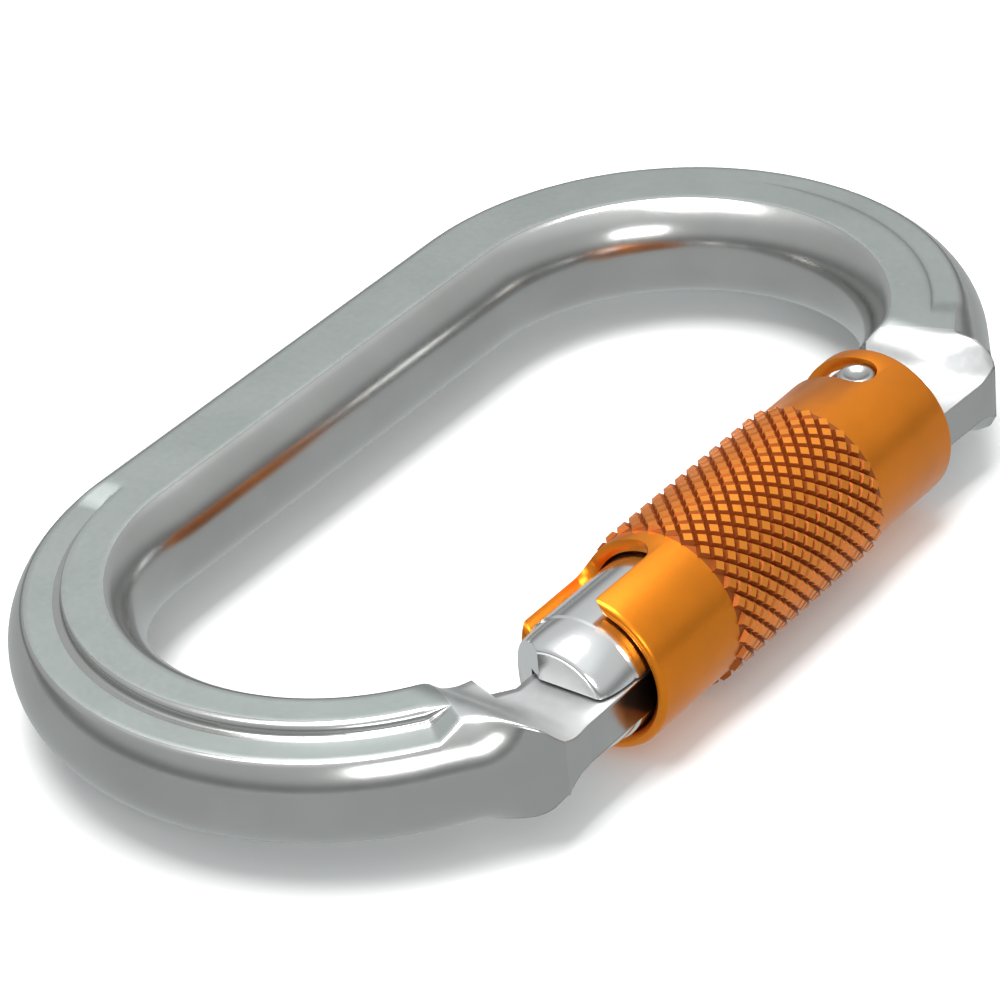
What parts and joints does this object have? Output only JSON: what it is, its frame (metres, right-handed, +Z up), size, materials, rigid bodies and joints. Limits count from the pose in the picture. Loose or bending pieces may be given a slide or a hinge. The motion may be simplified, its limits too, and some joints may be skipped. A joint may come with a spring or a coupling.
{
  "type": "auto-locking oval carabiner",
  "caption": "Oval forged aluminium carabiner with a sprung gate and a knurled orange twist-lock sleeve that turns on the gate barrel.",
  "frame": {"origin": "middle of the bounding box in X and Y, on the plane the sleeve's knurl touches when the carabiner lies flat", "axes": "+X along the long axis towards the hinge end, +Y from the gate to the spine, +Z up out of the oval"},
  "size_m": [0.109, 0.0623, 0.0161],
  "materials": {
    "forged_aluminium": "tumbled and polished forging, with a fine satin on its flats",
    "turned_aluminium": "polished, turned",
    "rivet_steel": "stainless, with a pressed dimple",
    "spring_steel": "bright drawn wire",
    "plunger_brass": "turned",
    "orange_anodised": "satin orange anodising, knurled round the middle"
  },
  "bodies": {
    "frame": {"frame_body": "forged_aluminium"},
    "gate": {"gate_barrel": "turned_aluminium", "hinge_rivet": "rivet_steel", "gate_spring": "spring_steel", "sleeve_spring": "spring_steel"},
    "plunger": {"spring_plunger": "plunger_brass"},
    "sleeve": {"twist_sleeve": "orange_anodised"}
  },
  "joints": [
    {"name": "gate_swing", "type": "hinge", "parent": "frame", "child": "gate", "pos_m": [0.0201, -0.0231, 0.00805], "axis": [0, 0, -1], "range_deg": [0, 25], "stiffness_Nm_per_rad": 0.5, "springref_deg": -17.19},
    {"name": "plunger_slide", "type": "slide", "parent": "gate", "child": "plunger", "axis": [-1, 0, 0], "range_m": [0, 0.0013], "deforming": ["gate_spring"]},
    {"name": "sleeve_twist", "type": "hinge", "parent": "gate", "child": "sleeve", "pos_m": [0, -0.0231, 0.00805], "axis": [1, 0, 0], "range_deg": [0, 122], "stiffness_Nm_per_rad": 0.01, "springref_deg": -57.3, "deforming": ["sleeve_spring"]}
  ],
  "couplings": [
    {"joint": "plunger_slide", "follows": "gate_swing", "m_per_rad": 0.00275}
  ]
}
